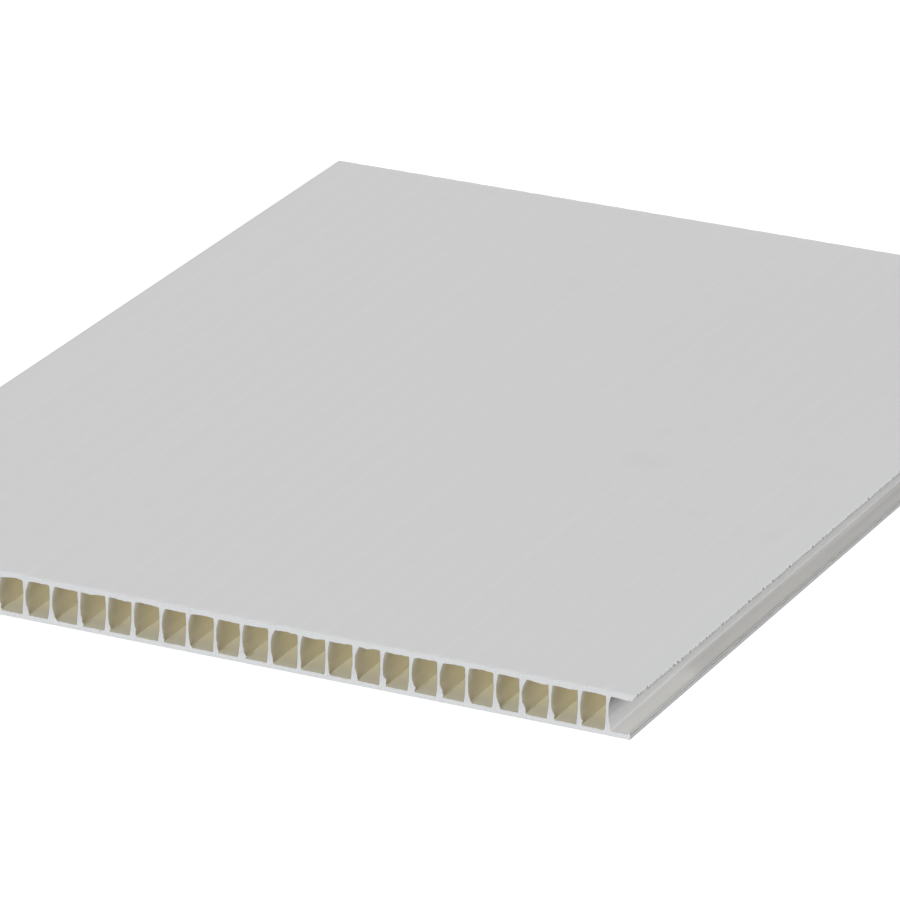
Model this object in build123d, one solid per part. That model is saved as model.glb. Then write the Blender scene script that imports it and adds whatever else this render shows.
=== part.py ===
"""Hollow core panel: a short sawn sample of an extruded wall and ceiling panel.

One profile, drawn in the XZ plane, is pushed along Y. Two skins are parted by thin
webs, so that thirty barrel-shaped cells run from end to end. The plain edge (-X) is a
closed wall, and the groove edge (+X) is left open between a face lip and a back lip.
Millimetres; Z is up, the show face is on top, and the panel lies on its back face.
"""

import os

from build123d import *

# Whole panel: the length along the cells, and the thickness from back face to show face
panel_length = 257.0
thickness = 10.0

# Cells: how many, and the distance from one web to the next
cell_count = 30
cell_pitch = 6.39

# Webs: thinnest at half height, and flared where they run into the skins
web_waist = 0.45
web_root = 1.25
cell_corner_radius = 0.35

# Skins over and under the cells
face_skin = 1.1
back_skin = 1.07

# Plain edge: its wall at half height, and the rounding of its two long corners
edge_wall = 0.5
edge_corner_radius = 0.3

# Groove edge: both lips are measured from the middle of the last web. The face lip
# droops towards its tip, which is cut back underneath.
face_lip_reach = 5.9
face_lip_droop = 0.5
face_lip_tip = 0.95
face_lip_undercut = 0.55
back_lip_reach = 4.9

# Bead: the small rib that stands along the tip of the back lip
bead_width = 0.4
bead_rise = 0.4
bead_round = 0.18

# The thinnest land that a rounding leaves between itself and the next corner, and how
# far to each side of its X a corner is looked for
least_land = 0.02
corner_search = 0.01

# Heights of the hollow, from the back face up
hollow_floor = back_skin
hollow_ceiling = thickness - face_skin
hollow_middle = (hollow_floor + hollow_ceiling) / 2

# Places across the panel, with the middle of its whole width at X = 0
cells_width = cell_count * cell_pitch
panel_width = edge_wall - web_waist / 2 + cells_width + face_lip_reach
face_lip_tip_x = panel_width / 2
last_web_x = face_lip_tip_x - face_lip_reach
plain_edge_x = -panel_width / 2
back_lip_tip_x = last_web_x + back_lip_reach


def cell_section(middle_x: float) -> Sketch:
    """One cell as seen from its end: flat floor and ceiling, and two sides bowed outwards."""
    half_root = (cell_pitch - web_root) / 2
    half_waist = (cell_pitch - web_waist) / 2
    floor_left = (middle_x - half_root, hollow_floor)
    floor_right = (middle_x + half_root, hollow_floor)
    ceiling_right = (middle_x + half_root, hollow_ceiling)
    ceiling_left = (middle_x - half_root, hollow_ceiling)
    sides = [
        Line(floor_left, floor_right),
        ThreePointArc(floor_right, (middle_x + half_waist, hollow_middle), ceiling_right),
        Line(ceiling_right, ceiling_left),
        ThreePointArc(ceiling_left, (middle_x - half_waist, hollow_middle), floor_left),
    ]
    cell = make_face(Curve() + sides)
    widest_round = min(half_root, (hollow_ceiling - hollow_floor) / 2) - least_land
    return fillet(cell.vertices(), min(cell_corner_radius, widest_round))


def solid_section() -> Sketch:
    """The panel's outline as seen from its end, with the groove but without the cells."""
    groove_root_x = last_web_x + web_root / 2
    groove_waist = (last_web_x + web_waist / 2, hollow_middle)
    bead_inner_x = back_lip_tip_x - bead_width
    bead_top = hollow_floor + bead_rise
    lip_tip_top = (face_lip_tip_x, thickness - face_lip_droop)
    lip_tip_bottom = (face_lip_tip_x - face_lip_undercut, thickness - face_lip_droop - face_lip_tip)
    lip_start = (last_web_x, thickness)
    edges = [
        Line((plain_edge_x, 0), (back_lip_tip_x, 0)),
        Line((back_lip_tip_x, 0), (back_lip_tip_x, bead_top)),
        Line((back_lip_tip_x, bead_top), (bead_inner_x, bead_top)),
        Line((bead_inner_x, bead_top), (bead_inner_x, hollow_floor)),
        Line((bead_inner_x, hollow_floor), (groove_root_x, hollow_floor)),
        ThreePointArc((groove_root_x, hollow_floor), groove_waist, (groove_root_x, hollow_ceiling)),
        TangentArc((groove_root_x, hollow_ceiling), lip_tip_bottom, tangent=(1, 0)),
        Line(lip_tip_bottom, lip_tip_top),
        TangentArc(lip_start, lip_tip_top, tangent=(1, 0)),
        Line(lip_start, (plain_edge_x, thickness)),
        Line((plain_edge_x, thickness), (plain_edge_x, 0)),
    ]
    outline = make_face(Curve() + edges)

    def corners(x: float) -> ShapeList:
        """The outline's corners that lie at one X, from the lowest up."""
        near = outline.vertices().filter_by_position(Axis.X, x - corner_search, x + corner_search)
        return near.sort_by(Axis.Y)

    outline = fillet(corners(groove_root_x), cell_corner_radius)
    outline = fillet(corners(plain_edge_x), edge_corner_radius)
    bead_corners = [corners(bead_inner_x)[-1], corners(back_lip_tip_x)[-1]]
    return fillet(bead_corners, min(bead_round, bead_width / 2 - least_land, bead_rise - least_land))


def hollow_panel() -> Part:
    """The finished sample: the section with its cells, pushed along Y about the origin."""
    section = solid_section()
    for number in range(cell_count):
        section -= cell_section(last_web_x - (number + 0.5) * cell_pitch)
    return extrude(Plane.XZ * section, amount=panel_length / 2, both=True)


os.makedirs("parts", exist_ok=True)
export_step(hollow_panel(), "parts/hollow_panel.step")
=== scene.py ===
"""Looks of the hollow core panel: a short sawn sample of an extruded plastic panel.

The panel's section is a grid of faces, opened at its cells and pushed along Y. Saw burrs,
the torn edge of the face lip and the wavy bead are moves of its points. The mesh is made
in millimetres and ends in metres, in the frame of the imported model.
"""

import bisect
import logging
import math
import random
from dataclasses import dataclass, field
from enum import Enum

import bmesh
import bpy
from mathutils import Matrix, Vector, noise


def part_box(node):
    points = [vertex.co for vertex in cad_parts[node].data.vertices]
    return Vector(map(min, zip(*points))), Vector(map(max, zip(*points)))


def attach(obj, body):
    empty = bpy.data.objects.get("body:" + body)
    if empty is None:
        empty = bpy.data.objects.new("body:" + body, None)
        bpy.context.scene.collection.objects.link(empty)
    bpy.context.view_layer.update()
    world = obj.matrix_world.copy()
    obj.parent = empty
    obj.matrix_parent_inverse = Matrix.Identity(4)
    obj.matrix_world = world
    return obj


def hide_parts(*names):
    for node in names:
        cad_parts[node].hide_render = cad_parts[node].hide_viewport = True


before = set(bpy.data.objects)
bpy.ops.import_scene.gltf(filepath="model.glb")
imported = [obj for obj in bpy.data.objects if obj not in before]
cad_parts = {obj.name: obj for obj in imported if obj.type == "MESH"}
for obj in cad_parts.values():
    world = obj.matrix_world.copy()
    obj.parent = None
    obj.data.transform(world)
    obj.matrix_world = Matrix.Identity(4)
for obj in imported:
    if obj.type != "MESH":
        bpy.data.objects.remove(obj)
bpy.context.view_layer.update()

NODE = "hollow_panel"
BODY = "root"
METRES = 0.001
MILLIMETRES = 1000.0
EVEN = (1.0, 1.0, 1.0)
ROUND_STEPS = 2

log = logging.getLogger("hollow_panel")

Socket = bpy.types.NodeSocket
NodeTree = bpy.types.NodeTree
Vert = bmesh.types.BMVert
Edge = bmesh.types.BMEdge
Point = tuple[float, float]
Factors = tuple[float, float, float]
Colour = tuple[float, float, float, float]


class Strip(Enum):
    """What an upright line of the section's grid runs through."""

    EDGE = "plain edge"
    CELL = "cell"
    WEB = "web"
    LIP = "lips of the groove"


class Zone(Enum):
    """The finishes on the panel, in the order of its material slots."""

    SKIN = 0
    SAWN = 1
    CELL = 2
    GROOVE = 3
    TORN = 4


@dataclass(frozen=True)
class Column:
    """One upright line of grid points: its strip, that strip's number and its step in it."""

    strip: Strip
    number: int
    step: int


def lerp(start: float, end: float, share: float) -> float:
    """The value that lies at this share of the way from start to end."""
    return start + (end - start) * share


def clamp(share: float) -> float:
    """A share held between 0 and 1."""
    return min(max(share, 0.0), 1.0)


def fade(distance: float, reach: float) -> float:
    """A share that falls evenly from 1 at no distance to 0 at the reach and past it."""
    return max(1.0 - distance / reach, 0.0)


def ripple(place: Vector, seed: float = 0.0) -> float:
    """Smooth repeatable noise between about -1 and 1, one wave per unit of length."""
    return noise.noise(place + Vector((seed, -2.3 * seed, 0.7 * seed)))


def round_off(radius: float, step: int) -> Point:
    """How far a point on a rounded corner lies from the corner's two sides.

    Args:
        radius: The corner's radius.
        step: 0 is half way round, and ROUND_STEPS is where the flat starts.

    Returns:
        The distance from the side where the rounding ends, and from the flat.
    """
    turn = math.radians(45.0 * (1.0 + min(step / ROUND_STEPS, 1.0)))
    return radius * (1 - math.cos(turn)), radius * (1 - math.sin(turn))


@dataclass
class PanelSection:
    """The panel as its sawn end shows it, in millimetres: X runs across and Z is up.

    Cells and webs are counted from the groove. Web 0 is the last one before the groove,
    cell 0 lies left of it, and the wall of the plain edge stands for web 30. The webs'
    drifts, shoulders and smears are in tenths of a millimetre.
    """

    left: float
    right: float
    thickness: float
    cells: int = 30
    pitch: float = 6.4
    last_web_inset: float = 5.9
    web_drifts: tuple[int, ...] = (
        -1, 0, -1, -3, 3, 3, 3, 3, 1, 1, 3, 3, -1, -3, 0, -1, 1, -1, 2, 0, -3,
    )
    web_shoulders: tuple[int, ...] = (
        6, 5, 3, 11, 4, 3, 8, 7, 7, 10, 4, 6, 9, 4, 7, 6, 8, 3, 2, 1, 6, 9,
    )
    web_smears: tuple[int, ...] = (
        3, 3, 6, 8, 6, 3, 6, 6, 6, 5, 2, 1, 4, 4, 2, 2, 2, 3, 1, 2, 5, 6,
    )
    tenth: float = 0.1
    smear_full: float = 0.6
    smear_fade: float = 2.4
    back_skin: float = 1.02
    face_skin: float = 1.24
    edge_wall: float = 0.5
    corner: float = 0.25
    edge_corner: float = 0.3
    waist_left: float = 0.24
    waist_right: float = 0.27
    waist_height: float = 5.5
    foot_left: float = 0.42
    foot_right: float = 0.1
    shoulder_left: float = 0.05
    lip_droop: float = 0.5
    lip_tip: float = 0.82
    lip_undercut: float = 0.35
    back_lip_short: float = 0.87
    bead_width: float = 0.42
    bead_rise: float = 0.2
    bead_round: float = 0.1
    sink: float = 0.02
    seed: int = 7
    least_slant: float = 0.6
    most_slant: float = 1.4
    cell_steps: int = 20
    wall_rows: int = 26
    lip_steps: int = 10
    bead_steps: int = 3
    bead_rows: int = 2
    edge_steps: int = 3
    skin_shares: tuple[float, ...] = (0.0, 0.14, 0.5, 1.0)
    lip_shares: tuple[float, ...] = (0.0, 0.2, 0.4, 0.58, 0.73, 0.85, 0.93, 0.97, 1.0)

    def __post_init__(self) -> None:
        """Works out the rows, and how much each web's left side leans out at its foot."""
        self.floor_row = len(self.skin_shares) - 1
        self.ceiling_row = self.floor_row + self.wall_rows
        self.top_row = self.ceiling_row + self.floor_row
        self.ceiling = self.thickness - self.face_skin
        self.bead_first = self.lip_steps - self.bead_steps
        chance = random.Random(self.seed)
        self.slants = [
            chance.uniform(self.least_slant, self.most_slant) for _ in range(self.cells + 1)
        ]

    def columns(self) -> list[Column]:
        """Every upright line of grid points, from the plain edge to the tips of the lips.

        Returns:
            The columns, from left to right.
        """
        found = [Column(Strip.EDGE, 0, step) for step in range(self.edge_steps)]
        for number in reversed(range(self.cells)):
            found += [Column(Strip.CELL, number, step) for step in range(self.cell_steps + 1)]
            found.append(Column(Strip.WEB, number, 0))
        return found + [Column(Strip.LIP, 0, step) for step in range(self.lip_steps + 1)]

    def of_web(self, tenths: tuple[int, ...], web: int) -> float:
        """A web's own value from a list, which starts again for the webs after its end."""
        return tenths[web % len(tenths)] * self.tenth

    def web_x(self, number: int) -> float:
        """The middle of a web; those out of the photo's reach are spread evenly.

        Args:
            number: The web's place, counted from the groove.

        Returns:
            Its X.
        """
        known = len(self.web_drifts)
        if number < known:
            start = self.right - self.last_web_inset
            return start - self.pitch * number + self.of_web(self.web_drifts, number)
        end = self.left + self.edge_wall / 2
        return lerp(self.web_x(known - 1), end, (number - known + 1) / (self.cells - known + 1))

    def wall_x(self, web: int, right_side: bool, height: float) -> float:
        """One side of a web at a height; it is thinnest half way and flares at its ends.

        Args:
            web: The web's number.
            right_side: Whether the side that faces the groove is asked for.
            height: The height above the back face.

        Returns:
            The side's X.
        """
        middle = self.web_x(web)
        above = max(height - self.waist_height, 0.0) / (self.ceiling - self.waist_height)
        below = max(self.waist_height - height, 0.0) / (self.waist_height - self.back_skin)
        if right_side:
            shoulder = self.of_web(self.web_shoulders, web)
            return middle + self.waist_right + shoulder * above**2 + self.foot_right * below
        foot = self.foot_left * self.slants[web]
        return middle - self.waist_left - self.shoulder_left * above - foot * below**1.5

    def smear_at(self, web: int, height: float) -> float:
        """How far the saw smeared the foot of a web's right side into the cell, at the cut."""
        share = clamp(fade(height - self.back_skin - self.smear_full, self.smear_fade))
        return self.of_web(self.web_smears, web) * share**2 * (3 - 2 * share)

    def skin_near(self, row: int) -> Point:
        """The height of the hollow's floor or ceiling, the nearer one, and its way inwards."""
        is_low = row - self.floor_row < self.ceiling_row - row
        return (self.back_skin, 1.0) if is_low else (self.ceiling, -1.0)

    def wall_point(self, web: int, right_side: bool, row: int) -> Point:
        """A point on the side of a web, rounded where it meets the floor and ceiling.

        Args:
            web: The web's number.
            right_side: Whether the side that faces the groove is asked for.
            row: The point's level in the grid.

        Returns:
            Its X and Z.
        """
        rise = row - self.floor_row
        from_base, from_wall = round_off(self.corner, min(rise, self.wall_rows - rise))
        share = clamp((rise - ROUND_STEPS) / (self.wall_rows - 2 * ROUND_STEPS))
        flat = lerp(self.back_skin + self.corner, self.ceiling - self.corner, share)
        side = self.wall_x(web, right_side, flat)
        height = lerp(self.back_skin + from_base, self.ceiling - from_base, share)
        return side + (from_wall if right_side else -from_wall), height

    def cell_point(self, cell: int, step: int, row: int) -> Point:
        """A point on the outline of a cell; one inside it is given as on its floor or ceiling.

        Args:
            cell: The cell's number.
            step: The point's step across the cell.
            row: Its level in the grid.

        Returns:
            Its X and Z.
        """
        if step == 0:
            return self.wall_point(cell + 1, True, row)
        if step == self.cell_steps:
            return self.wall_point(cell, False, row)
        base, inward = self.skin_near(row)
        start = self.wall_x(cell + 1, True, base + inward * self.corner)
        end = self.wall_x(cell, False, base + inward * self.corner)
        from_wall, from_base = round_off(self.corner, min(step, self.cell_steps - step))
        share = clamp((step - ROUND_STEPS) / (self.cell_steps - 2 * ROUND_STEPS))
        return lerp(start + from_wall, end - from_wall, share), base + inward * from_base

    def lip_under(self, step: int, row: int) -> Point:
        """A point on the groove's side of either lip, with the bead on the back one.

        Args:
            step: The point's step from the last web to the lip's tip.
            row: Its level in the grid.

        Returns:
            Its X and Z.
        """
        if step == 0:
            return self.wall_point(0, True, row)
        base, inward = self.skin_near(row)
        from_wall, from_base = round_off(self.corner, step)
        start = self.wall_x(0, True, base + inward * self.corner) + from_wall
        past_corner = max(step - ROUND_STEPS, 0)
        if inward < 0:
            share = self.lip_shares[past_corner]
            droop = self.lip_droop + self.lip_tip - self.face_skin
            tip = self.right - self.lip_undercut
            return lerp(start, tip, share), base - from_base - droop * share**2
        bead_start = self.right - self.back_lip_short - self.bead_width
        across = lerp(start, bead_start, clamp(past_corner / (self.bead_first - ROUND_STEPS)))
        across += self.bead_width * max(step - self.bead_first, 0) / self.bead_steps
        height = base + from_base
        level = row - self.floor_row
        if step >= self.bead_first:
            height += self.bead_rise * level / self.bead_rows
            if level == self.bead_rows and step in (self.bead_first, self.lip_steps):
                height -= self.bead_round
        return across, height

    def inner_point(self, column: Column, row: int) -> Point:
        """A grid point between the floor and the ceiling of the hollows, both included.

        Args:
            column: Its upright line.
            row: Its level in the grid.

        Returns:
            Its X and Z.
        """
        if column.strip is Strip.CELL:
            return self.cell_point(column.number, column.step, row)
        if column.strip is Strip.LIP:
            return self.lip_under(column.step, row)
        if column.strip is Strip.WEB:
            left_x, left_z = self.wall_point(column.number, False, row)
            right_x, right_z = self.wall_point(column.number, True, row)
            return (left_x + right_x) / 2, (left_z + right_z) / 2
        wall_x, wall_z = self.wall_point(self.cells, True, row)
        return lerp(self.left, wall_x, column.step / self.edge_steps), wall_z

    def sink_at(self, across: float) -> float:
        """How far a skin sinks over the webs, which cool last; nothing between them."""
        turns = (across - self.web_x(0)) / self.pitch
        return self.sink * math.cos(math.pi * turns) ** 4

    def droop_at(self, across: float) -> float:
        """How far the face lip has drooped at a place between the last web and its tip."""
        reach = (across - self.web_x(0)) / (self.right - self.web_x(0))
        return self.lip_droop * max(reach, 0.0) ** 2

    def outer_point(self, column: Column, is_face: bool) -> Point:
        """A grid point on the show face or the back face.

        Args:
            column: Its upright line.
            is_face: Whether it is the one on the show face.

        Returns:
            Its X and Z.
        """
        if column.strip is Strip.EDGE:
            inset, drop = round_off(self.edge_corner, column.step)
            return self.left + inset, self.thickness - drop if is_face else drop
        row = self.ceiling_row if is_face else self.floor_row
        across, _ = self.inner_point(column, row)
        if not is_face:
            return across, 0.0
        if column.strip is not Strip.LIP:
            return across, self.thickness - self.sink_at(across)
        start, _ = self.lip_under(0, row)
        under_tip, _ = self.lip_under(self.lip_steps, row)
        across = lerp(start, self.right, (across - start) / (under_tip - start))
        return across, self.thickness - self.droop_at(across)

    def place(self, column: Column, row: int) -> Point:
        """Where a point of the grid belongs.

        Args:
            column: Its upright line.
            row: Its level, from 0 on the back face up.

        Returns:
            Its X and Z.
        """
        if self.floor_row <= row <= self.ceiling_row:
            return self.inner_point(column, row)
        is_face = row > self.ceiling_row
        depth = self.top_row - row if is_face else row
        inner = self.inner_point(column, self.ceiling_row if is_face else self.floor_row)
        outer = self.outer_point(column, is_face)
        if column.strip is Strip.EDGE and column.step == 0 and depth == 1:
            return self.left, outer[1]
        share = self.skin_shares[depth]
        return lerp(outer[0], inner[0], share), lerp(outer[1], inner[1], share)

    def is_open(self, first: Column, second: Column, low_row: int) -> bool:
        """Whether a face of the grid lies in a hollow.

        Args:
            first: The column on its left.
            second: The column on its right.
            low_row: The row under it.

        Returns:
            Whether it has to be taken out.
        """
        in_hollow = self.floor_row <= low_row < self.ceiling_row
        if not in_hollow or first.strip is not second.strip:
            return False
        if first.strip is Strip.CELL:
            return first.number == second.number
        over_bead = first.step < self.bead_first or low_row >= self.floor_row + self.bead_rows
        return first.strip is Strip.LIP and over_bead


@dataclass(frozen=True)
class Nick:
    """A nick in the tip of the face lip: it deepens along the panel and ends at a tooth."""

    start: float
    end: float
    depth: float

    def depth_at(self, along: float) -> float:
        """How deep the nick is at a place along the panel."""
        share = (along - self.start) / (self.end - self.start)
        return self.depth * share**0.7 if 0.0 < share < 1.0 else 0.0


@dataclass(frozen=True)
class RimPoint:
    """A point near a sawn end, as it lies before the saw's marks are made.

    The end is -1 at the near cut and 1 at the far one, and the depth counts from it. The
    spot is where the point's noise is read.
    """

    vert: Vert
    column: Column
    row: int
    end: float
    depth: float
    spot: Vector


@dataclass
class PanelBody:
    """The whole panel as one closed mesh, with its sawn ends, its lips and its finishes.

    Sizes are in millimetres and rates are waves of noise per millimetre.
    """

    section: PanelSection
    half_length: float
    slice_depths: tuple[float, ...] = (0.0, 0.12, 0.35, 0.8, 1.6, 3.0, 30.0)
    ends_apart: float = 9.0
    burr_depth: float = 0.5
    ceiling_burr: float = 0.36
    ceiling_rate: float = 0.3
    ceiling_fray: float = 0.3
    wall_burr: float = 0.1
    floor_burr: float = 0.16
    burr_bias: float = 0.2
    foot_notch: float = 0.95
    notch_bias: float = 0.1
    notch_height: float = 4.8
    burr_wave: float = 1.8
    fray_wave: float = 0.62
    lip_burr: float = 0.52
    lip_burr_depth: float = 1.4
    lip_burr_wave: float = 0.868
    smear_depth: float = 30.0
    side_reach: float = 2.5
    corner_steps: int = 3
    saw_wander: float = 0.04
    wander_rate: float = 0.9
    whiten_depth: float = 2.9
    white_from: float = 0.48
    white_full: float = 0.88
    rim_dip: float = 0.14
    dip_mean: float = 0.7
    dip_spread: float = 1.2
    dip_rate: float = 0.35
    rim_lift: float = 0.06
    rim_depth: float = 1.6
    far_rim: float = 0.3
    lip_flare: float = 0.42
    flare_length: float = 8.0
    tooth_spacing: float = 0.2
    tooth_seed: int = 11
    tooth_from: int = 5
    first_tooth: float = 1.5
    large_share: float = 0.14
    small_width: Point = (0.45, 0.9)
    small_depth: Point = (0.24, 0.48)
    large_width: Point = (1.2, 2.2)
    large_depth: Point = (0.3, 0.48)
    tooth_gap: Point = (0.2, 0.6)
    fray: float = 0.06
    fray_length: float = 0.8
    fray_mean: float = 0.5
    tooth_white: float = 0.5
    bead_spacing: float = 1.0
    bead_waver: float = 0.07
    bead_wave: float = 7.0
    bead_side_rate: float = 0.6
    bead_burr: float = 0.2
    bead_burr_depth: float = 1.2
    sharp_angle: float = math.radians(35.0)

    def build(self) -> bpy.types.Object:
        """Makes the mesh and its object, in metres.

        Returns:
            The object, with one material slot to fill for each zone.
        """
        self.columns = self.section.columns()
        self.bm = bmesh.new()
        self.column_of = self.bm.verts.layers.int.new("column")
        self.row_of = self.bm.verts.layers.int.new("row")
        self.rim = self.bm.verts.layers.float.new("rim")
        self.lay_out()
        self.open_hollows()
        self.push_along()
        self.mark_zones()
        self.refine_lips()
        self.saw_ends()
        self.tear_lip()
        self.waver_bead()
        self.set_edges()
        bmesh.ops.scale(self.bm, vec=(METRES, METRES, METRES), verts=self.bm.verts)
        mesh = bpy.data.meshes.new("hollow_panel_body")
        self.bm.to_mesh(mesh)
        self.bm.free()
        body = bpy.data.objects.new("hollow_panel_body", mesh)
        bpy.context.scene.collection.objects.link(body)
        return body

    def column(self, vert: Vert) -> Column:
        """The upright line of the grid that a point belongs to."""
        return self.columns[vert[self.column_of]]

    def depth(self, vert: Vert) -> float:
        """How far a point lies from the nearer sawn end."""
        return self.half_length - abs(vert.co.y)

    def lay_out(self) -> None:
        """Lays the grid of the section at the near end and numbers its points."""
        across = len(self.columns) - 1
        up = self.section.top_row
        bmesh.ops.create_grid(self.bm, x_segments=across, y_segments=up, size=0.5)
        for vert in self.bm.verts:
            vert[self.column_of] = round((vert.co.x + 0.5) * across)
            vert[self.row_of] = round((vert.co.y + 0.5) * up)
            x, z = self.section.place(self.column(vert), vert[self.row_of])
            vert.co = Vector((x, -self.half_length, z))

    def open_hollows(self) -> None:
        """Takes out the grid faces that lie in the cells and in the groove."""
        hollow = []
        for face in self.bm.faces:
            left, right = sorted({vert[self.column_of] for vert in face.verts})
            low_row = min(vert[self.row_of] for vert in face.verts)
            if self.section.is_open(self.columns[left], self.columns[right], low_row):
                hollow.append(face)
        bmesh.ops.delete(self.bm, geom=hollow, context="FACES")

    def push_along(self) -> None:
        """Pushes the section from end to end and cuts its length into slices."""
        made = bmesh.ops.extrude_face_region(self.bm, geom=list(self.bm.faces))["geom"]
        far = [item for item in made if isinstance(item, Vert)]
        length = 2 * self.half_length
        bmesh.ops.translate(self.bm, vec=(0.0, length, 0.0), verts=far)
        near_places = [depth - self.half_length for depth in self.slice_depths]
        places = near_places + [0.0] + [-place for place in reversed(near_places)]
        self.cut_across(self.edges_along(), len(places) - 2)
        for vert in self.bm.verts:
            share = (vert.co.y + self.half_length) / length
            vert.co.y = places[round(share * (len(places) - 1))]
        bmesh.ops.recalc_face_normals(self.bm, faces=self.bm.faces)

    def edges_along(self) -> list[Edge]:
        """The edges that run along the panel's length."""
        return [e for e in self.bm.edges if abs(e.verts[0].co.y - e.verts[1].co.y) > 1e-6]

    def cut_across(self, edges: list[Edge], cuts: int) -> None:
        """Cuts edges that run side by side, and the faces between them, evenly."""
        bmesh.ops.subdivide_edges(self.bm, edges=edges, cuts=cuts, use_grid_fill=True)

    def mark_zones(self) -> None:
        """Gives each face the slot of its finish, from the grid numbers of its corners."""
        section = self.section
        for face in self.bm.faces:
            columns = [self.column(vert) for vert in face.verts]
            rows = [vert[self.row_of] for vert in face.verts]
            in_hollow = min(rows) >= section.floor_row and max(rows) <= section.ceiling_row
            strips = {column.strip for column in columns}
            at_tip = min(column.step for column in columns) == section.lip_steps
            zone = Zone.SKIN
            if abs(face.normal.y) > 0.5:
                zone = Zone.SAWN
            elif in_hollow and strips == {Strip.CELL}:
                zone = Zone.CELL
            elif at_tip and strips == {Strip.LIP}:
                zone = Zone.TORN
            elif in_hollow and strips == {Strip.LIP}:
                zone = Zone.GROOVE
            face.material_index = zone.value
            face.smooth = True

    def refine_lips(self) -> None:
        """Cuts the tip of the face lip and the bead finely along their length."""
        for spacing, picks in (
            (self.tooth_spacing, self.in_lip_tip),
            (self.bead_spacing, self.in_bead),
        ):
            spans: dict[int, list[Edge]] = {}
            for edge in self.edges_along():
                if all(picks(vert) for vert in edge.verts):
                    cuts = round(edge.calc_length() / spacing) - 1
                    spans.setdefault(cuts, []).append(edge)
            for cuts, edges in spans.items():
                if cuts > 0:
                    self.cut_across(edges, cuts)

    def in_lip_tip(self, vert: Vert) -> bool:
        """Whether a point lies in the outer part of the face lip."""
        column = self.column(vert)
        is_high = vert[self.row_of] >= self.section.ceiling_row
        return column.strip is Strip.LIP and column.step >= self.tooth_from and is_high

    def in_bead(self, vert: Vert) -> bool:
        """Whether a point lies on the bead."""
        column = self.column(vert)
        is_level = 0 <= vert[self.row_of] - self.section.floor_row <= self.section.bead_rows
        return column.strip is Strip.LIP and column.step >= self.section.bead_first and is_level

    def saw_ends(self) -> None:
        """Roughens both sawn ends: burrs around the cells, and a chipped rim on the show face."""
        section = self.section
        for vert in self.bm.verts:
            depth = self.depth(vert)
            if depth >= self.smear_depth:
                continue
            column, row = self.column(vert), vert[self.row_of]
            end = math.copysign(1.0, vert.co.y)
            spot = Vector((vert.co.x, self.ends_apart * end, vert.co.z))
            point = RimPoint(vert, column, row, end, depth, spot)
            if row > section.ceiling_row:
                self.chip_rim(point)
            elif row >= section.floor_row and column.strip in (Strip.CELL, Strip.LIP):
                self.raise_burr(point)
            if depth == 0.0:
                uneven = 1.0 + ripple(spot * self.wander_rate)
                vert.co.y -= end * self.saw_wander * uneven

    def chip_rim(self, point: RimPoint) -> None:
        """Lets the rim of the show face dip over the webs and stand a little between them.

        Args:
            point: A point of the show face's skin.
        """
        section = self.section
        turns = (point.vert.co.x - section.web_x(0)) / section.pitch
        over_web = (0.5 + 0.5 * math.cos(2 * math.pi * turns)) ** 3
        near = fade(point.depth, self.rim_depth)
        reach = near**2 * (1.0 - section.skin_shares[section.top_row - point.row])
        if point.end > 0:
            reach *= self.far_rim
        spot = Vector((point.spot.x, point.spot.y, section.thickness))
        uneven = self.dip_mean + self.dip_spread * ripple(spot * self.dip_rate, 5.0)
        dip = self.rim_dip * over_web * max(uneven, 0.0)
        point.vert.co.z += reach * (self.rim_lift * (1 - over_web) - dip)
        if point.row == section.top_row:
            point.vert[self.rim] = near**3 * (1 - over_web)

    def raise_burr(self, point: RimPoint) -> None:
        """Moves a point of a hollow's rim in or out, as the saw left it.

        Args:
            point: A point on the outline of a cell or of the groove.
        """
        section, vert, step = self.section, point.vert, point.column.step
        if step in (0, section.cell_steps):
            height_share = (point.row - section.floor_row) / section.wall_rows
            # This whitens the upper walls near the cut; on the cell walls it also sets a painted
            # glow.
            white_and_glow = (height_share - self.white_from) / (self.white_full - self.white_from)
            near = fade(point.depth, self.whiten_depth) ** 1.5
            vert[self.rim] = clamp(white_and_glow) * near
        vert.co.x += self.side_push(point)
        fray = ripple(point.spot / self.fray_wave)
        flat = min(step, section.cell_steps - step, self.corner_steps) / self.corner_steps
        reach = flat * fade(point.depth, self.burr_depth) ** 1.5
        if point.row == section.floor_row:
            vert.co.z += reach * self.floor_burr * max(self.burr_bias + fray, 0.0)
        elif point.row == section.ceiling_row and point.column.strip is Strip.LIP:
            vert.co.z -= self.lip_push(point)
        elif point.row == section.ceiling_row:
            hang = ripple(point.spot * self.ceiling_rate, 6.0) + self.ceiling_fray * fray
            vert.co.z -= reach * self.ceiling_burr * hang

    def side_push(self, point: RimPoint) -> float:
        """How far the burrs and the smeared foot of the nearer web move a point sideways.

        Args:
            point: A point on the outline of a cell or of the groove.

        Returns:
            The move along X.
        """
        section, across, height = self.section, point.vert.co.x, point.vert.co.z
        is_lip = point.column.strip is Strip.LIP
        web = 0 if is_lip else point.column.number + 1
        at_cut = fade(point.depth, self.burr_depth) ** 1.5
        left = section.wall_x(web, True, height)
        spot = Vector((left, point.spot.y, height))
        ragged = max(ripple(spot / self.fray_wave) + self.notch_bias, 0.0)
        notch = self.foot_notch * fade(height, self.notch_height) * ragged
        burr = self.wall_burr * ripple(spot / self.burr_wave, 3.0)
        smear = section.smear_at(web, height) * fade(point.depth, self.smear_depth)
        push = fade(across - left, self.side_reach) * (at_cut * (burr + notch) + smear)
        if is_lip:
            return push
        right = section.wall_x(point.column.number, False, height)
        spot.x = right
        burr = self.wall_burr * ripple(spot / self.burr_wave, 3.0)
        return push - fade(right - across, self.side_reach) * at_cut * burr

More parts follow.
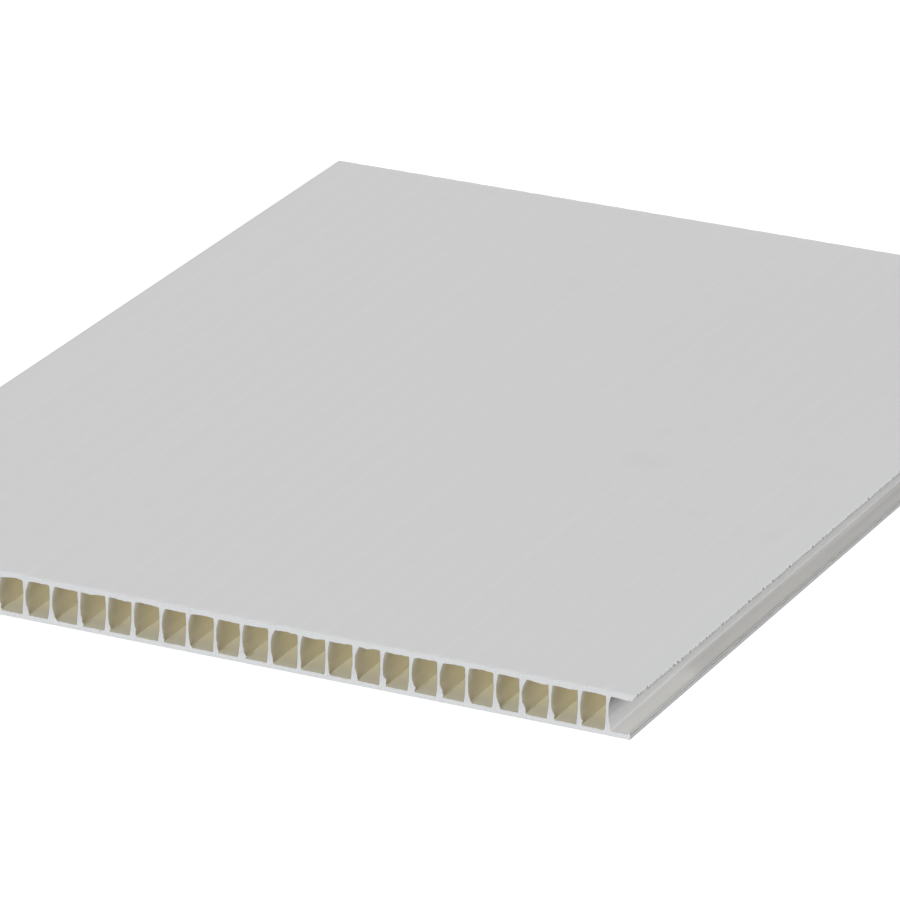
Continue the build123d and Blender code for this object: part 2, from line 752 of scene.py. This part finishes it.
    def lip_push(self, point: RimPoint) -> float:
        """How far the burr under the face lip hangs down near the cut.

        Args:
            point: A point on the underside of the face lip.

        Returns:
            The move down.
        """
        along = Vector((0.0, point.depth / self.fray_wave, 0.0))
        rough = ripple(point.spot / self.lip_burr_wave + along, 3.0)
        flat = min(point.column.step, self.corner_steps) / self.corner_steps
        reach = flat * fade(point.depth, self.lip_burr_depth)
        return reach * self.lip_burr * max(self.burr_bias + rough, 0.0)

    def torn_places(self) -> list[Nick]:
        """Where the tip of the face lip is nicked: many small nicks, with large ones between.

        Returns:
            The nicks, from the near end to the far one.
        """
        chance = random.Random(self.tooth_seed)
        along = self.first_tooth - self.half_length
        found = []
        while along < self.half_length:
            is_large = chance.random() < self.large_share
            width = chance.uniform(*(self.large_width if is_large else self.small_width))
            depth = chance.uniform(*(self.large_depth if is_large else self.small_depth))
            found.append(Nick(along, along + width, depth))
            along += width + chance.uniform(*self.tooth_gap)
        return found

    def tear_lip(self) -> None:
        """Nicks the tip of the face lip along its length, by squeezing its outer part."""
        section = self.section
        first_share = section.lip_shares[self.tooth_from - ROUND_STEPS]
        nicks = self.torn_places()
        starts = [nick.start for nick in nicks]
        for vert in filter(self.in_lip_tip, self.bm.verts):
            along = vert.co.y
            frayed = ripple(Vector((along / self.fray_length, 0.0, 1.0)))
            depth = self.fray * (self.fray_mean + frayed)
            before = bisect.bisect(starts, along) - 1
            if before >= 0:
                depth += nicks[before].depth_at(along)
            share = section.lip_shares[self.column(vert).step - ROUND_STEPS]
            reach = (share - first_share) / (1.0 - first_share)
            droop = section.droop_at(vert.co.x)
            from_cut = along + self.half_length
            flare = self.lip_flare * (1.0 - math.exp(-from_cut / self.flare_length))
            vert.co.x += (flare - depth) * reach
            vert.co.z += droop - section.droop_at(vert.co.x)
            if vert[self.row_of] == section.top_row:
                proud = fade(depth, self.small_depth[0])
                vert[self.rim] += self.tooth_white * proud * reach**9

    def waver_bead(self) -> None:
        """Lets the top of the bead rise and fall along its length."""
        for vert in filter(self.in_bead, self.bm.verts):
            level = (vert[self.row_of] - self.section.floor_row) / self.section.bead_rows
            along = Vector((vert.co.y / self.bead_wave, 2.0, 0.0))
            burr = self.bead_burr * fade(self.depth(vert), self.bead_burr_depth)
            vert.co.z += level * (self.bead_waver * ripple(along) + burr)
            vert.co.x += level * self.bead_waver * ripple(along * self.bead_side_rate, 8.0)

    def set_edges(self) -> None:
        """Keeps the real corners sharp under smooth shading."""
        self.bm.normal_update()
        for edge in self.bm.edges:
            edge.smooth = edge.calc_face_angle(0.0) < self.sharp_angle


class Graph:
    """A node tree being wired up, with short calls for the nodes that the finishes use."""

    def __init__(self, tree: NodeTree) -> None:
        """Takes the tree to add to."""
        self.tree = tree

    def feed(self, socket: Socket, value: object) -> None:
        """Joins a socket to another node's output, or sets its value."""
        if isinstance(value, Socket):
            self.tree.links.new(value, socket)
        else:
            socket.default_value = value

    def add(
        self, kind: str, inputs: dict[str | int, object], output: str | int = 0, **settings: object
    ) -> Socket:
        """Adds a node.

        Args:
            kind: Its type.
            inputs: What its inputs are fed with.
            output: The output that is wanted.
            settings: Its own properties.

        Returns:
            That output.
        """
        made = self.tree.nodes.new(kind)
        for name, value in settings.items():
            setattr(made, name, value)
        for key, value in inputs.items():
            self.feed(made.inputs[key], value)
        return made.outputs[output]

    def math(self, operation: str, first: object, second: object = 0.0) -> Socket:
        """The result of a Math node."""
        return self.add("ShaderNodeMath", {0: first, 1: second}, operation=operation)

    def plus(self, first: object, second: object) -> Socket:
        """The sum of two values."""
        return self.math("ADD", first, second)

    def times(self, first: object, second: object) -> Socket:
        """The product of two values."""
        return self.math("MULTIPLY", first, second)

    def parts(self, vector: Socket) -> tuple[Socket, ...]:
        """The X, Y and Z of a vector."""
        return tuple(self.add("ShaderNodeSeparateXYZ", {0: vector}).node.outputs)

    def noise(
        self, vector: Socket, scale: object, detail: float = 3.0, stretch: Factors = EVEN
    ) -> Socket:
        """The value of a Noise texture, about 0.5 on the mean.

        Args:
            vector: Where it is read.
            scale: Its waves to the metre.
            detail: How many finer layers it has.
            stretch: A factor on each axis: the noise is drawn out where it is small.

        Returns:
            The value.
        """
        drawn = self.add("ShaderNodeVectorMath", {0: vector, 1: stretch}, operation="MULTIPLY")
        inputs = {"Vector": drawn, "Scale": scale, "Detail": detail}
        return self.add("ShaderNodeTexNoise", inputs, "Fac")

    def remap(
        self, value: Socket, low: float, high: float, start: float = 0.0, end: float = 1.0
    ) -> Socket:
        """A value taken smoothly from one range to another and held at its ends."""
        ends = {"From Min": low, "From Max": high, "To Min": start, "To Max": end}
        inputs = {"Value": value, **ends}
        return self.add("ShaderNodeMapRange", inputs, interpolation_type="SMOOTHSTEP")

    def blend(self, share: object, first: object, second: object) -> Socket:
        """A colour between two colours."""
        return self.add("ShaderNodeMix", {0: share, 6: first, 7: second}, 2, data_type="RGBA")


def label(name: str) -> str:
    """The label of a group's socket, from the name of its value."""
    return name.replace("_", " ").title()


class Effect(Graph):
    """A shader node group being wired up: it reads a vector and numbers, and gives a mask."""

    def __init__(self, name: str, **numbers: float) -> None:
        """Starts the group.

        Args:
            name: Its name.
            numbers: Its number inputs, with their default values.
        """
        super().__init__(bpy.data.node_groups.new(name, "ShaderNodeTree"))
        sockets = self.tree.interface
        sockets.new_socket(name="Vector", in_out="INPUT", socket_type="NodeSocketVector")
        for number, value in numbers.items():
            made = sockets.new_socket(
                name=label(number), in_out="INPUT", socket_type="NodeSocketFloat"
            )
            made.default_value = value
        sockets.new_socket(name="Mask", in_out="OUTPUT", socket_type="NodeSocketFloat")
        self.source = self.tree.nodes.new("NodeGroupInput").outputs
        self.sink = self.tree.nodes.new("NodeGroupOutput").inputs

    def finished(self, mask: Socket) -> NodeTree:
        """Gives the mask out and hands over the group."""
        self.feed(self.sink["Mask"], mask)
        return self.tree


@dataclass
class Effects:
    """The surface effects that several finishes share, each one node group.

    The half length is the panel's, in metres, and a fineness is in waves to the metre.
    """

    half_length: float
    die_line_stretch: Factors = (1.0, 0.012, 1.0)
    die_line_detail: float = 4.0
    smudge_fineness: float = 700.0
    smudge_ragged: float = 0.9
    smudge_fall: Point = (0.3, 1.3)

    def __post_init__(self) -> None:
        """Builds every group once."""
        self.grain = self.build_noise("plastic_grain", EVEN, 3.0)
        self.die_lines = self.build_noise("die_lines", self.die_line_stretch, self.die_line_detail)
        self.smudge = self.build_smudge()
        self.depth = self.build_depth()

    def build_noise(self, name: str, stretch: Factors, detail: float) -> NodeTree:
        """Fine unevenness, or lines where it is drawn out: a mask, about 0.5 on the mean."""
        group = Effect(name, fineness=1000.0)
        return group.finished(group.noise(*group.source[:2], detail, stretch))

    def build_smudge(self) -> NodeTree:
        """A soft uneven spot on the show face: 1 in its middle and 0 outside it.

        Returns:
            The group.
        """
        group = Effect("smudge", across=0.0, along=0.0, half_width=0.01, half_length=0.01)
        source = group.source
        ragged = group.noise(source["Vector"], self.smudge_fineness)
        reach = group.times(ragged, self.smudge_ragged)
        x, y, _ = group.parts(source["Vector"])
        for place, middle, half_size in (
            (x, source["Across"], source["Half Width"]),
            (y, source["Along"], source["Half Length"]),
        ):
            from_middle = group.math("SUBTRACT", place, middle)
            share = group.math("DIVIDE", from_middle, half_size)
            reach = group.plus(reach, group.math("POWER", share, 2.0))
        return group.finished(group.remap(reach, *self.smudge_fall, 1.0, 0.0))

    def build_depth(self) -> NodeTree:
        """How deep a point lies behind the nearer sawn end: 0 at the cut and 1 at the reach.

        Returns:
            The group.
        """
        group = Effect("cut_depth", reach=0.01)
        _, along, _ = group.parts(group.source["Vector"])
        depth = group.math("SUBTRACT", self.half_length, group.math("ABSOLUTE", along))
        share = group.math("DIVIDE", depth, group.source["Reach"])
        return group.finished(group.remap(share, 0.0, 1.0))


class Surface(Graph):
    """The graph of one finish, with the places, grain, streaks and marks that it reads."""

    def __init__(self, tree: NodeTree, finish: "Finish") -> None:
        """Starts the graph of a finish in a material's own tree.

        Args:
            tree: The tree, with its Principled shader.
            finish: The finish.
        """
        super().__init__(tree)
        self.spot_range = finish.spot_range
        self.shader = tree.nodes["Principled BSDF"].inputs
        self.place = self.add("ShaderNodeTexCoord", {}, "Object")
        self.x, self.y, self.z = self.parts(self.place)
        self.grain = self.use(finish.effects.grain, fineness=finish.grain_fineness)
        self.streaks = finish.streaks(self)
        self.marks = self.remap(self.streaks, *finish.streak_range, 0.0, finish.streak_mark)

    def spots(self, fineness: float, strength: float) -> Socket:
        """A mask of small rare spots."""
        return self.remap(self.noise(self.place, fineness), *self.spot_range, 0.0, strength)

    def use(self, group: NodeTree, **values: float) -> Socket:
        """The mask of a shared effect, with the finish's own values."""
        inputs = {label(name): value for name, value in values.items()}
        return self.add("ShaderNodeGroup", {"Vector": self.place, **inputs}, node_tree=group)

    def rim(self) -> Socket:
        """How white the burrs are, as the mesh has it; the cell walls also take a painted glow from
        it.
        """
        return self.add("ShaderNodeAttribute", {}, "Fac", attribute_name="rim")

    def paint(self, socket: str, colour: object, *coats: tuple[object, object]) -> None:
        """Feeds one of the shader's colours.

        Args:
            socket: Which colour it is.
            colour: The undermost colour.
            coats: What lies over it, in order: the share of each coat and its colour.
        """
        for share, coat in coats:
            colour = self.blend(share, colour, coat)
        self.feed(self.shader[socket], colour)


def tone(red: int, green: int, blue: int) -> Colour:
    """A display colour, 0 to 255, as the linear colour that shaders use."""
    shares = [value / 255 for value in (red, green, blue)]
    linear = [s / 12.92 if s <= 0.04045 else ((s + 0.055) / 1.055) ** 2.4 for s in shares]
    return (*linear, 1.0)


@dataclass(frozen=True)
class Finish:
    """What all finishes share: their streaks and grain, in the roughness and the relief.

    A fineness is in waves to the metre, and a mark or share says how strongly it shows.
    Heights, depths, places and reaches are in metres.
    """

    effects: Effects
    name: str = "plastic"
    streak_fineness: float = 500.0
    streak_range: Point = (0.35, 0.65)
    streak_mark: float = 0.7
    streak_relief: float = 1.0
    grain_fineness: float = 1500.0
    grain_relief: float = 0.5
    spot_range: Point = (0.66, 0.76)
    roughness: float = 0.6
    rough_spread: float = 0.06
    relief_depth: float = 0.00003
    relief_strength: float = 0.5

    def material(self) -> bpy.types.Material:
        """Builds the material.

        Returns:
            The material, with its colours, roughness and relief.
        """
        made = bpy.data.materials.new(self.name)
        made.use_nodes = True
        surface = Surface(made.node_tree, self)
        self.dress(surface)
        spread = surface.times(surface.grain, 2 * self.rough_spread)
        rough = surface.plus(self.roughness - self.rough_spread, spread)
        surface.feed(surface.shader["Roughness"], rough)
        streaks = surface.times(surface.streaks, self.streak_relief)
        height = surface.plus(streaks, surface.times(surface.grain, self.grain_relief))
        sizes = {"Distance": self.relief_depth, "Strength": self.relief_strength}
        relief = surface.add("ShaderNodeBump", {"Height": height, **sizes})
        surface.feed(surface.shader["Normal"], relief)
        return made

    def streaks(self, surface: Surface) -> Socket:
        """The lines that the die drew along the panel."""
        return surface.use(self.effects.die_lines, fineness=self.streak_fineness)

    def dress(self, surface: Surface) -> None:
        """Lays on the finish's own colours."""
        raise NotImplementedError


@dataclass(frozen=True)
class Smudge:
    """A faint mark on the show face, with its sizes in millimetres."""

    across: float
    along: float
    half_width: float
    half_length: float
    strength: float

    def mask(self, surface: Surface, group: NodeTree) -> Socket:
        """How strongly the mark shows over the surface."""
        spot = surface.use(
            group,
            across=self.across * METRES,
            along=self.along * METRES,
            half_width=self.half_width * METRES,
            half_length=self.half_length * METRES,
        )
        return surface.times(spot, self.strength)


@dataclass(frozen=True)
class SkinFinish(Finish):
    """The satin outer skin: an off-white plastic with faint die lines and handling marks."""

    name: str = "satin_skin"
    streak_fineness: float = 900.0
    streak_range: Point = (0.3, 0.7)
    streak_mark: float = 0.09
    streak_relief: float = 0.6
    grain_fineness: float = 1800.0
    grain_relief: float = 1.0
    roughness: float = 0.58
    rough_spread: float = 0.05
    relief_depth: float = 0.00001
    relief_strength: float = 0.35
    colour: Colour = tone(203, 203, 203)
    mark_colour: Colour = tone(191, 191, 190)
    # Painted light: lighter lines over the webs, for how the faint sinks there catch the light.
    sink_light_colour: Colour = tone(209, 209, 209)
    rim_colour: Colour = tone(211, 212, 213)
    # Painted shade: the drooped face lip is painted darker.
    lip_shade_colour: Colour = tone(198, 199, 199)
    lip_shade_reach: Point = (0.0925, 0.0985)
    web_place: float = 0.0930375
    web_pitch: float = 0.0064
    web_light_line: Point = (0.0002, 0.0009)
    web_light_mark: float = 0.18
    speck_fineness: float = 420.0
    speck_mark: float = 0.14
    grain_mark: float = 0.12
    smudges: tuple[Smudge, ...] = (
        Smudge(47.9, -13.5, 8.5, 7.0, 0.16),
        Smudge(49.0, -14.0, 3.5, 2.5, 0.12),
        Smudge(44.0, 4.5, 4.0, 3.5, 0.1),
        Smudge(50.4, 9.5, 4.5, 3.5, 0.1),
        Smudge(69.2, -35.5, 6.0, 3.0, 0.12),
        Smudge(90.4, -40.3, 4.0, 3.0, 0.14),
        Smudge(83.0, -3.5, 10.0, 7.0, 0.07),
        Smudge(94.0, -24.0, 9.0, 12.0, 0.06),
        Smudge(-13.0, 76.5, 9.0, 6.0, 0.07),
        Smudge(30.4, 76.5, 5.0, 4.0, 0.07),
        Smudge(-36.0, -82.5, 1.8, 2.8, 0.14),
        Smudge(62.0, 70.0, 70.0, 70.0, 0.07),
    )

    def dress(self, surface: Surface) -> None:
        """Lays on painted shade over the face lip, painted light in lines over the webs, the marks
        and the white rim.

        Args:
            surface: The graph of the finish.
        """
        marks = surface.spots(self.speck_fineness, self.speck_mark)
        marks = surface.plus(marks, surface.marks)
        for smudge in self.smudges:
            marks = surface.plus(marks, smudge.mask(surface, self.effects.smudge))
        marks = surface.plus(marks, surface.times(surface.grain, self.grain_mark))
        from_web = surface.math("SUBTRACT", surface.x, self.web_place)
        folded = surface.math("PINGPONG", from_web, self.web_pitch / 2)
        surface.paint(
            "Base Color",
            self.colour,
            # Painted shade on the face lip, then painted light in lines over the webs.
            (surface.remap(surface.x, *self.lip_shade_reach), self.lip_shade_colour),
            (surface.remap(folded, *self.web_light_line, self.web_light_mark, 0.0), self.sink_light_colour),
            (marks, self.mark_colour),
            (surface.rim(), self.rim_colour),
        )


@dataclass(frozen=True)
class SawnFinish(Finish):
    """The sawn ends: white and rough, with fine scratches and brighter burrs at the cells."""

    name: str = "sawn_end"
    streak_fineness: float = 4200.0
    streak_range: Point = (0.45, 0.75)
    streak_mark: float = 0.6
    streak_stretch: Factors = (1.0, 1.0, 0.3)
    grain_fineness: float = 2200.0
    grain_relief: float = 1.0
    roughness: float = 0.85
    rough_spread: float = 0.05
    relief_depth: float = 0.00006
    relief_strength: float = 0.6
    pit_fineness: float = 600.0
    pit_mark: float = 0.5
    colour: Colour = tone(205, 207, 209)
    burr_colour: Colour = tone(208, 211, 213)
    scratch_colour: Colour = tone(190, 192, 194)
    pit_colour: Colour = tone(165, 165, 164)
    # Painted shade: darker towards the show face, and darker in the middle of the webs.
    upper_shade_colour: Colour = tone(196, 197, 198)
    web_shade_colour: Colour = tone(190, 192, 195)
    burr_share: float = 0.7
    upper_shade_share: float = 0.4
    web_shade_share: float = 0.5
    upper_shade_heights: Point = (0.001, 0.009)
    web_feet: Point = (0.0011, 0.0024)
    web_heads: Point = (0.0078, 0.0089)

    def streaks(self, surface: Surface) -> Socket:
        """The scratches that the saw left, drawn out upwards."""
        return surface.noise(surface.place, self.streak_fineness, 3.0, self.streak_stretch)

    def dress(self, surface: Surface) -> None:
        """Lays on the scratches, the pits and the burrs, then painted shade: darker towards the show
        face, and darker on the webs.

        Args:
            surface: The graph of the finish.
        """
        # Painted shade masks: the webs between their feet and heads, and the face's upper part.
        over_foot = surface.remap(surface.z, *self.web_feet, 0.0, self.web_shade_share)
        under_head = surface.remap(surface.z, *self.web_heads, 1.0, 0.0)
        upper = surface.remap(surface.z, *self.upper_shade_heights, 0.0, self.upper_shade_share)
        surface.paint(
            "Base Color",
            self.colour,
            (surface.marks, self.scratch_colour),
            (surface.spots(self.pit_fineness, self.pit_mark), self.pit_colour),
            (surface.times(surface.rim(), self.burr_share), self.burr_colour),
            (upper, self.upper_shade_colour),
            (surface.times(over_foot, under_head), self.web_shade_colour),
        )


@dataclass(frozen=True)
class CellFinish(Finish):
    """The walls of the cells: cream plastic, with a painted glow that stands in for the light coming
    through its skins.
    """

    name: str = "cell_wall"
    colour: Colour = tone(226, 220, 202)
    line_colour: Colour = tone(217, 210, 190)
    floor_colour: Colour = tone(221, 219, 206)
    # Painted highlight along the seam where the walls meet the floor.
    seam_highlight_colour: Colour = tone(235, 233, 222)
    rim_colour: Colour = tone(222, 222, 220)
    # Painted shadow at the foot of the walls near the cut.
    foot_shadow_colour: Colour = tone(176, 164, 130)
    dark: Colour = (0.0, 0.0, 0.0, 1.0)
    # Emission is painted light: a glow for the light through the skins, a highlight on the seam and
    # light on the white rim.
    skin_light: Colour = (0.087, 0.079, 0.0525, 1.0)
    floor_skin_light: Colour = (0.09, 0.088, 0.059, 1.0)
    seam_light: Colour = (0.108, 0.103, 0.076, 1.0)
    rim_light: Colour = (0.19, 0.188, 0.172, 1.0)
    light_at_cut: float = 0.3
    light_reach: float = 0.01
    seam_at_cut: float = 0.5
    seam_full: float = 0.4
    foot_shadow_share: float = 0.75
    foot_shadow_depth: float = 0.0035
    foot_shadow_heights: Point = (0.0013, 0.0036)
    floor_heights: Point = (0.00104, 0.00108)
    seam_heights: Point = (0.00116, 0.00124)

    def dress(self, surface: Surface) -> None:
        """Lays on the floor, a painted highlight along its seam, the walls, a painted shadow at the
        feet by the cut and the white rim, then a painted glow.

        Args:
            surface: The graph of the finish.
        """
        on_wall = surface.remap(surface.z, *self.floor_heights)
        past_seam = surface.remap(surface.z, *self.seam_heights)
        from_cut = surface.use(self.effects.depth, reach=self.foot_shadow_depth)
        near = surface.math("SUBTRACT", 1.0, from_cut)
        # Painted shadow: darker low on the walls near the cut.
        low = surface.remap(surface.z, *self.foot_shadow_heights, self.foot_shadow_share, 0.0)
        rim = surface.rim()
        surface.paint(
            "Base Color",
            self.floor_colour,
            (on_wall, self.seam_highlight_colour),
            (past_seam, surface.blend(surface.marks, self.colour, self.line_colour)),
            (surface.times(surface.times(low, near), past_seam), self.foot_shadow_colour),
            (rim, self.rim_colour),
        )
        # Painted light: the glow is weaker at the cut, with a highlight on the seam and light on the
        # rim.
        depth = surface.use(self.effects.depth, reach=self.light_reach)
        on_seam = surface.math("SUBTRACT", on_wall, past_seam)
        past_cut = surface.remap(depth, 0.0, self.seam_full, self.seam_at_cut, 1.0)
        glow = surface.blend(on_wall, self.floor_skin_light, self.skin_light)
        surface.paint(
            "Emission Color",
            self.dark,
            (surface.remap(depth, 0.0, 1.0, self.light_at_cut, 1.0), glow),
            (surface.times(on_seam, past_cut), self.seam_light),
            (rim, self.rim_light),
        )
        surface.feed(surface.shader["Emission Strength"], 1.0)


@dataclass(frozen=True)
class GrooveFinish(Finish):
    """The groove: the skin's plastic, a little duller, with stronger die lines."""

    name: str = "groove_wall"
    streak_fineness: float = 600.0
    streak_mark: float = 0.5
    relief_strength: float = 0.25
    colour: Colour = tone(199, 199, 199)
    line_colour: Colour = tone(186, 186, 186)
    # Painted light: the floor is painted lighter than the walls, and lighter still by the bead and
    # deeper in, where it lies in shade.
    floor_colour: Colour = tone(207, 206, 203)
    lit_floor_colour: Colour = tone(231, 229, 224)
    # Painted shade: the bead is painted darker.
    bead_colour: Colour = tone(186, 185, 182)
    floor_heights: Point = (0.00102, 0.00106)
    bead_light_places: Point = (0.0943, 0.0968)
    deep_light_depths: Point = (-0.11, -0.035)
    inner_light_places: Point = (-0.06, 0.0)
    inner_light_share: float = 0.2
    bead_shade_places: Point = (0.09755, 0.0977)

    def dress(self, surface: Surface) -> None:
        """Lays on the floor, with painted light that lightens it by the bead and further in, the
        walls and painted shade on the bead.

        Args:
            surface: The graph of the finish.
        """
        # Painted light on the floor by the bead and deeper in.
        by_bead = surface.remap(surface.x, *self.bead_light_places)
        past_light = surface.remap(surface.y, *self.deep_light_depths)
        far_in = surface.remap(surface.y, *self.inner_light_places, 0.0, self.inner_light_share)
        floor_light = surface.math("MAXIMUM", surface.times(by_bead, past_light), far_in)
        surface.paint(
            "Base Color",
            self.floor_colour,
            (floor_light, self.lit_floor_colour),
            (surface.remap(surface.z, *self.floor_heights), self.colour),
            (surface.marks, self.line_colour),
            (surface.remap(surface.x, *self.bead_shade_places), self.bead_colour),
        )


@dataclass(frozen=True)
class TornFinish(Finish):
    """The tips of the lips and the bead: bare plastic, dulled by handling."""

    name: str = "torn_edge"
    streak_fineness: float = 1200.0
    streak_range: Point = (0.3, 0.7)
    streak_mark: float = 0.2
    streak_relief: float = 0.0
    grain_fineness: float = 900.0
    grain_relief: float = 1.0
    roughness: float = 0.75
    relief_strength: float = 0.4
    colour: Colour = tone(196, 196, 199)
    # Darker in a wavy band about 1 mm up the tips, and on the ticks.
    dark_line_colour: Colour = tone(154, 152, 150)
    bead_colour: Colour = tone(190, 189, 187)
    # Painted light: the face lip's tip, which faces down into shade, is painted paler.
    face_lip_light_colour: Colour = tone(220, 220, 220)
    dark_line_heights: Point = (0.0007, 0.001)
    dark_line_waver: float = 0.001
    dark_line_fineness: float = 260.0
    tick_fineness: float = 1500.0
    tick_range: Point = (0.4, 0.65)
    tick_mark: float = 0.3
    bead_heights: Point = (0.00112, 0.0013)
    face_lip_light_heights: Point = (0.004, 0.006)
    lengthways: Factors = (0.0, 1.0, 0.0)

    def dress(self, surface: Surface) -> None:
        """Lays on the ticks and a dark wavy line low on the tips, the bead over it, and painted
        light that pales the face lip's tip.

        Args:
            surface: The graph of the finish.
        """
        waves = surface.noise(surface.place, self.dark_line_fineness, 4.0, self.lengthways)
        waver = surface.times(surface.math("SUBTRACT", waves, 0.5), self.dark_line_waver)
        height = surface.plus(surface.z, waver)
        ticks = surface.noise(surface.place, self.tick_fineness, 2.0, self.lengthways)
        ticks = surface.remap(ticks, *self.tick_range, 0.0, self.tick_mark)
        worn = surface.plus(ticks, surface.marks)
        in_dark_line = surface.remap(height, *self.dark_line_heights)
        surface.paint(
            "Base Color",
            self.colour,
            (surface.math("MAXIMUM", in_dark_line, worn), self.dark_line_colour),
            (surface.remap(height, *self.bead_heights), self.bead_colour),
            # Painted light that pales the face lip's tip.
            (surface.remap(surface.z, *self.face_lip_light_heights), self.face_lip_light_colour),
        )


@dataclass
class HollowPanel:
    """The sample as a whole: its mesh, its finishes and its place in the frame."""

    low: Vector
    high: Vector

    def build(self) -> bpy.types.Object:
        """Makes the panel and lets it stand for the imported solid.

        Returns:
            The panel's object.
        """
        section = PanelSection(
            left=self.low.x * MILLIMETRES,
            right=self.high.x * MILLIMETRES,
            thickness=self.high.z * MILLIMETRES,
        )
        body = PanelBody(section, self.high.y * MILLIMETRES).build()
        effects = Effects(self.high.y)
        for finish in (SkinFinish, SawnFinish, CellFinish, GrooveFinish, TornFinish):
            body.data.materials.append(finish(effects).material())
        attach(body, BODY)
        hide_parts(NODE)
        return body


@dataclass(frozen=True)
class Lamp:
    """A distant lamp: its place round the panel and its spread, in degrees, and its strength."""

    name: str
    azimuth: float
    elevation: float
    strength: float
    spread: float


@dataclass
class Studio:
    """The pale floor, the soft light and the camera at the photo's viewing angle."""

    target: Vector = field(default_factory=lambda: Vector((7.168, -26.315, 10.0)) * METRES)
    azimuth: float = 26.261
    elevation: float = 21.928
    distance: float = 1.674577
    lens: float = 308.456
    clip_start: float = 0.05
    floor_half_width: float = 4.0
    floor_gap: float = 0.00005
    floor_colour: Colour = (0.3, 0.3, 0.3, 1.0)
    floor_glow: float = 0.85
    background: Colour = (1.0, 1.0, 1.0, 1.0)
    world_light: float = 0.5
    lamps: tuple[Lamp, ...] = (
        Lamp("front_lamp", 0.0, 12.0, 2.36, 2.5),
        Lamp("side_lamp", 105.0, 33.0, 1.85, 50.0),
        Lamp("back_lamp", 240.0, 14.0, 0.45, 60.0),
    )

    def build(self) -> None:
        """Sets the whole stage."""
        self.lay_floor()
        self.light_world()
        for lamp in self.lamps:
            data = bpy.data.lights.new(lamp.name, "SUN")
            data.energy = lamp.strength
            data.angle = math.radians(lamp.spread)
            self.stand(data, lamp.azimuth, lamp.elevation)
        data = bpy.data.cameras.new("camera")
        data.lens = self.lens
        data.clip_start = self.clip_start
        bpy.context.scene.camera = self.stand(data, self.azimuth, self.elevation)
        bpy.context.scene.view_settings.view_transform = "Standard"

    def stand(self, data: bpy.types.ID, azimuth: float, elevation: float) -> bpy.types.Object:
        """Stands a lamp or the camera round the panel, turned towards the target.

        Args:
            data: The lamp's or the camera's data.
            azimuth: Its place round the panel, in degrees; 0 is in front, at -Y.
            elevation: How high it stands, in degrees.

        Returns:
            Its object.
        """
        turn, rise = math.radians(azimuth), math.radians(elevation)
        flat = math.cos(rise)
        towards = Vector((math.sin(turn) * flat, -math.cos(turn) * flat, math.sin(rise)))
        made = bpy.data.objects.new(data.name, data)
        made.location = self.target + towards * self.distance
        made.rotation_euler = towards.to_track_quat("Z", "Y").to_euler()
        bpy.context.scene.collection.objects.link(made)
        return made

    def lay_floor(self) -> None:
        """Makes the floor, a hair under the panel: it bounces a plain light and looks white."""
        bm = bmesh.new()
        bmesh.ops.create_grid(bm, x_segments=1, y_segments=1, size=self.floor_half_width)
        mesh = bpy.data.meshes.new("floor")
        bm.to_mesh(mesh)
        bm.free()
        floor = bpy.data.objects.new("floor", mesh)
        floor.location.z = -self.floor_gap
        bpy.context.scene.collection.objects.link(floor)
        material = bpy.data.materials.new("pale_floor")
        material.use_nodes = True
        material.node_tree.nodes.clear()
        graph = Graph(material.node_tree)
        diffuse = graph.add("ShaderNodeBsdfDiffuse", {"Color": self.floor_colour})
        seen = graph.add("ShaderNodeLightPath", {}, "Is Camera Ray")
        glow = graph.add("ShaderNodeEmission", {"Strength": graph.times(seen, self.floor_glow)})
        output = graph.tree.nodes.new("ShaderNodeOutputMaterial")
        graph.feed(output.inputs["Surface"], graph.add("ShaderNodeAddShader", {0: diffuse, 1: glow}))
        mesh.materials.append(material)

    def light_world(self) -> None:
        """Fills the room with even light and shows the camera a white background."""
        world = bpy.data.worlds.new("studio")
        bpy.context.scene.world = world
        world.use_nodes = True
        graph = Graph(world.node_tree)
        inputs = world.node_tree.nodes["Background"].inputs
        inputs["Color"].default_value = self.background
        seen = graph.add("ShaderNodeLightPath", {}, "Is Camera Ray")
        extra = graph.times(seen, 1.0 - self.world_light)
        graph.feed(inputs["Strength"], graph.plus(extra, self.world_light))


def main() -> None:
    logging.basicConfig(level=logging.INFO)
    panel = HollowPanel(*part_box(NODE)).build()
    faces = panel.data.polygons
    log.info("%s: %d faces", panel.name, len(faces))
    log.info("triangles: %d", sum(len(face.vertices) - 2 for face in faces))
    Studio().build()


if __name__ == "__main__":
    main()
